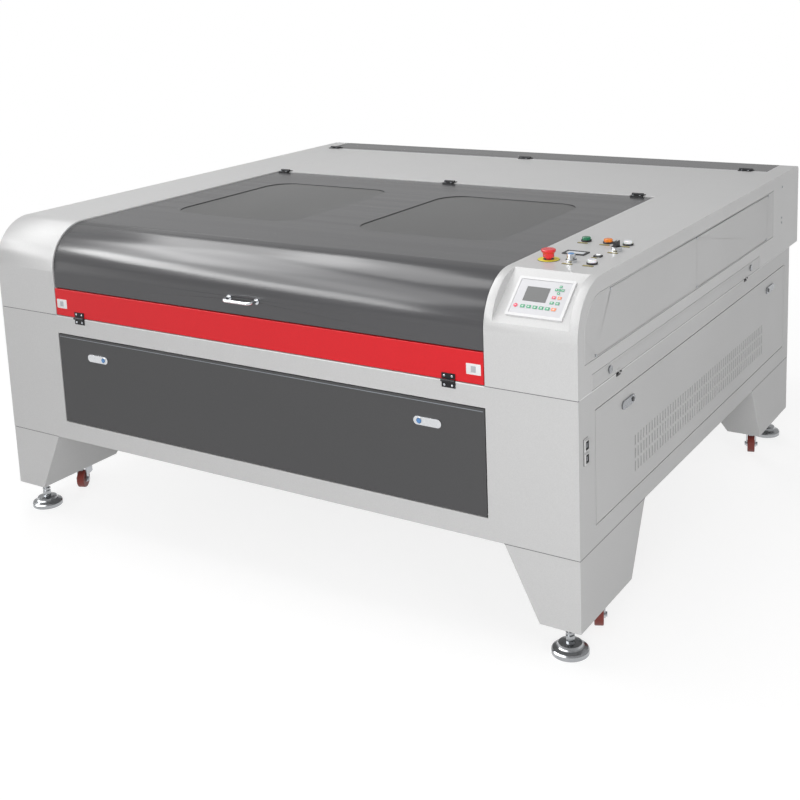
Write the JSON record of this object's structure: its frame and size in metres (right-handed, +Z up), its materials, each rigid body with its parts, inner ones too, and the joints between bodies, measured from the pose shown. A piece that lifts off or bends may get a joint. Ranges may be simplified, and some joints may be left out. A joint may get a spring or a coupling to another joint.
{
  "type": "laser engraving machine",
  "caption": "Large flatbed gantry laser engraving machine with windowed lid, front flap, control wing, lifting bed and caster legs.",
  "frame": {"origin": "on the floor under the middle of the machine's bounding box", "axes": "+X to the machine's right as the operator faces it, +Y to the back, +Z up"},
  "size_m": [2.146, 2.023, 1.052],
  "materials": {
    "light_grey_paint": "satin light grey powder coat",
    "white_paint": "satin off-white powder coat",
    "dark_grey_paint": "satin dark grey powder coat",
    "red_paint": "satin red powder coat",
    "window": "tinted clear panel",
    "black_steel": "black coated steel",
    "chrome": "polished chrome",
    "zinc": "zinc plated steel",
    "aluminium": "clear anodised aluminium",
    "black_plastic": "matte black plastic",
    "white_plastic": "white plastic",
    "blue_plastic": "blue plastic",
    "red_plastic": "red plastic",
    "green_plastic": "green plastic",
    "orange_plastic": "orange plastic",
    "overlay": "printed membrane sheet",
    "tube_glass": "clear glass",
    "wheel_nylon": "dark red nylon",
    "housing_grey": "grey enamel",
    "red_anodised": "red anodised aluminium"
  },
  "bodies": {
    "frame": {"lower_cabinet": "light_grey_paint", "legs": "light_grey_paint", "left_wing": "white_paint", "right_wing": "white_paint", "rear_housing": "white_paint", "keypad_frame": "white_plastic", "keypad_overlay": "overlay", "access_panel": "light_grey_paint", "fasteners": "zinc", "back_panel": "light_grey_paint", "panel_bezels": "black_plastic", "hinge_plates": "black_steel", "y_rails": "aluminium", "y_drive": "black_plastic", "laser_tube": "tube_glass", "electronics": "housing_grey", "caster_plates": "zinc", "lift_screws": "zinc"},
    "lid": {"lid_shell": "dark_grey_paint", "lid_windows": "window", "lid_handle": "chrome", "lid_hinge_leaves": "black_steel"},
    "flap": {"front_flap": "red_paint", "flap_hinge_leaves": "black_steel"},
    "cover": {"tube_cover": "dark_grey_paint", "cover_hinge_leaves": "black_steel"},
    "front_door": {"front_door": "dark_grey_paint", "front_latch_plates": "chrome"},
    "front_button_left": {"front_latch_button_left": "blue_plastic"},
    "front_button_right": {"front_latch_button_right": "blue_plastic"},
    "side_door": {"side_door": "light_grey_paint", "side_latch_plates": "chrome"},
    "side_button_front": {"side_latch_button_front": "blue_plastic"},
    "side_button_rear": {"side_latch_button_rear": "blue_plastic"},
    "strip_door": {"strip_door": "light_grey_paint"},
    "strip_lock_front": {"strip_lock_front": "chrome"},
    "strip_lock_rear": {"strip_lock_rear": "chrome"},
    "stop_button": {"stop_button": "red_plastic"},
    "key": {"key_barrel": "chrome"},
    "selector": {"selector_knob": "black_plastic"},
    "button_start": {"button_start": "white_plastic"},
    "button_green": {"button_green": "green_plastic"},
    "button_orange": {"button_orange": "orange_plastic"},
    "button_white": {"button_white": "white_plastic"},
    "gantry": {"gantry_beam": "aluminium"},
    "head": {"laser_head": "red_anodised"},
    "drive_shaft": {"y_drive_shaft": "zinc"},
    "table": {"work_table": "aluminium"},
    "fork_fl": {"caster_fork_fl": "zinc"},
    "wheel_fl": {"caster_wheel_fl": "wheel_nylon"},
    "foot_fl": {"foot_fl": "zinc"},
    "fork_fr": {"caster_fork_fr": "zinc"},
    "wheel_fr": {"caster_wheel_fr": "wheel_nylon"},
    "foot_fr": {"foot_fr": "zinc"},
    "fork_rl": {"caster_fork_rl": "zinc"},
    "wheel_rl": {"caster_wheel_rl": "wheel_nylon"},
    "foot_rl": {"foot_rl": "zinc"},
    "fork_rr": {"caster_fork_rr": "zinc"},
    "wheel_rr": {"caster_wheel_rr": "wheel_nylon"},
    "foot_rr": {"foot_rr": "zinc"}
  },
  "joints": [
    {"name": "lid_open", "type": "hinge", "parent": "frame", "child": "lid", "pos_m": [0, 0.2275, 1.0265], "axis": [-1, 0, 0], "range_deg": [0, 75]},
    {"name": "flap_open", "type": "hinge", "parent": "frame", "child": "flap", "pos_m": [0, -0.978, 0.7305], "axis": [1, 0, 0], "range_deg": [0, 170]},
    {"name": "cover_open", "type": "hinge", "parent": "frame", "child": "cover", "pos_m": [0, 0.839, 1.0265], "axis": [1, 0, 0], "range_deg": [0, 95]},
    {"name": "front_door_open", "type": "hinge", "parent": "frame", "child": "front_door", "pos_m": [0, -0.968, 0.371], "axis": [1, 0, 0], "range_deg": [0, 90]},
    {"name": "front_button_left_press", "type": "slide", "parent": "front_door", "child": "front_button_left", "axis": [0, 1, 0], "range_m": [0, 0.003], "stiffness_N_per_m": 600, "springref_m": -0.003},
    {"name": "front_button_right_press", "type": "slide", "parent": "front_door", "child": "front_button_right", "axis": [0, 1, 0], "range_m": [0, 0.003], "stiffness_N_per_m": 600, "springref_m": -0.003},
    {"name": "side_door_open", "type": "hinge", "parent": "frame", "child": "side_door", "pos_m": [1.0645, 0, 0.367], "axis": [0, 1, 0], "range_deg": [0, 90]},
    {"name": "side_button_front_press", "type": "slide", "parent": "side_door", "child": "side_button_front", "axis": [-1, 0, 0], "range_m": [0, 0.003], "stiffness_N_per_m": 600, "springref_m": -0.003},
    {"name": "side_button_rear_press", "type": "slide", "parent": "side_door", "child": "side_button_rear", "axis": [-1, 0, 0], "range_m": [0, 0.003], "stiffness_N_per_m": 600, "springref_m": -0.003},
    {"name": "strip_door_open", "type": "hinge", "parent": "frame", "child": "strip_door", "pos_m": [1.0726, 0, 0.731], "axis": [0, 1, 0], "range_deg": [0, 155]},
    {"name": "strip_lock_front_turn", "type": "hinge", "parent": "strip_door", "child": "strip_lock_front", "pos_m": [1.07, -0.7775, 0.756], "axis": [1, 0, 0], "range_deg": [0, 90]},
    {"name": "strip_lock_rear_turn", "type": "hinge", "parent": "strip_door", "child": "strip_lock_rear", "pos_m": [1.07, 0.4285, 0.756], "axis": [1, 0, 0], "range_deg": [0, 90]},
    {"name": "stop_press", "type": "slide", "parent": "frame", "child": "stop_button", "axis": [0, 0, -1], "range_m": [0, 0.004], "stiffness_N_per_m": 1500, "springref_m": -0.004},
    {"name": "key_turn", "type": "hinge", "parent": "frame", "child": "key", "pos_m": [0.941, -0.7285, 1.022], "axis": [0, 0, 1], "range_deg": [-90, 0]},
    {"name": "selector_turn", "type": "hinge", "parent": "frame", "child": "selector", "pos_m": [1.001, -0.5655, 1.022], "axis": [0, 0, 1], "range_deg": [-90, 0]},
    {"name": "button_start_press", "type": "slide", "parent": "frame", "child": "button_start", "axis": [0, 0, -1], "range_m": [0, 0.003], "stiffness_N_per_m": 600, "springref_m": -0.003},
    {"name": "button_green_press", "type": "slide", "parent": "frame", "child": "button_green", "axis": [0, 0, -1], "range_m": [0, 0.003], "stiffness_N_per_m": 600, "springref_m": -0.003},
    {"name": "button_orange_press", "type": "slide", "parent": "frame", "child": "button_orange", "axis": [0, 0, -1], "range_m": [0, 0.003], "stiffness_N_per_m": 600, "springref_m": -0.003},
    {"name": "button_white_press", "type": "slide", "parent": "frame", "child": "button_white", "axis": [0, 0, -1], "range_m": [0, 0.003], "stiffness_N_per_m": 600, "springref_m": -0.003},
    {"name": "gantry_y", "type": "slide", "parent": "frame", "child": "gantry", "axis": [0, 1, 0], "range_m": [-1.08, 0.2]},
    {"name": "head_x", "type": "slide", "parent": "gantry", "child": "head", "axis": [1, 0, 0], "range_m": [-1.26, 0.035]},
    {"name": "drive_shaft_spin", "type": "hinge", "parent": "frame", "child": "drive_shaft", "pos_m": [0, 0.6665, 0.9618], "axis": [1, 0, 0], "continuous": true},
    {"name": "table_lower", "type": "slide", "parent": "frame", "child": "table", "axis": [0, 0, -1], "range_m": [0, 0.2]},
    {"name": "swivel_fl", "type": "hinge", "parent": "frame", "child": "fork_fl", "pos_m": [-1.01, -0.7285, 0.085], "axis": [0, 0, 1], "continuous": true},
    {"name": "wheel_spin_fl", "type": "hinge", "parent": "fork_fl", "child": "wheel_fl", "pos_m": [-0.99648, -0.7575, 0.038], "axis": [0.9063, 0.4226, 0], "continuous": true},
    {"name": "foot_level_fl", "type": "slide", "parent": "frame", "child": "foot_fl", "axis": [0, 0, -1], "range_m": [0, 0.02]},
    {"name": "swivel_fr", "type": "hinge", "parent": "frame", "child": "fork_fr", "pos_m": [1.01, -0.7285, 0.085], "axis": [0, 0, 1], "continuous": true},
    {"name": "wheel_spin_fr", "type": "hinge", "parent": "fork_fr", "child": "wheel_fr", "pos_m": [1.02352, -0.7575, 0.038], "axis": [0.9063, 0.4226, 0], "continuous": true},
    {"name": "foot_level_fr", "type": "slide", "parent": "frame", "child": "foot_fr", "axis": [0, 0, -1], "range_m": [0, 0.02]},
    {"name": "swivel_rl", "type": "hinge", "parent": "frame", "child": "fork_rl", "pos_m": [-1.01, 0.6615, 0.085], "axis": [0, 0, 1], "continuous": true},
    {"name": "wheel_spin_rl", "type": "hinge", "parent": "fork_rl", "child": "wheel_rl", "pos_m": [-0.99906, 0.63143, 0.038], "axis": [0.9397, 0.342, 0], "continuous": true},
    {"name": "foot_level_rl", "type": "slide", "parent": "frame", "child": "foot_rl", "axis": [0, 0, -1], "range_m": [0, 0.02]},
    {"name": "swivel_rr", "type": "hinge", "parent": "frame", "child": "fork_rr", "pos_m": [1.01, 0.6615, 0.085], "axis": [0, 0, 1], "continuous": true},
    {"name": "wheel_spin_rr", "type": "hinge", "parent": "fork_rr", "child": "wheel_rr", "pos_m": [1.01936, 0.6309, 0.038], "axis": [0.9563, 0.2924, 0], "continuous": true},
    {"name": "foot_level_rr", "type": "slide", "parent": "frame", "child": "foot_rr", "axis": [0, 0, -1], "range_m": [0, 0.02]}
  ],
  "couplings": [
    {"joint": "drive_shaft_spin", "follows": "gantry_y", "rad_per_m": 71.429}
  ]
}
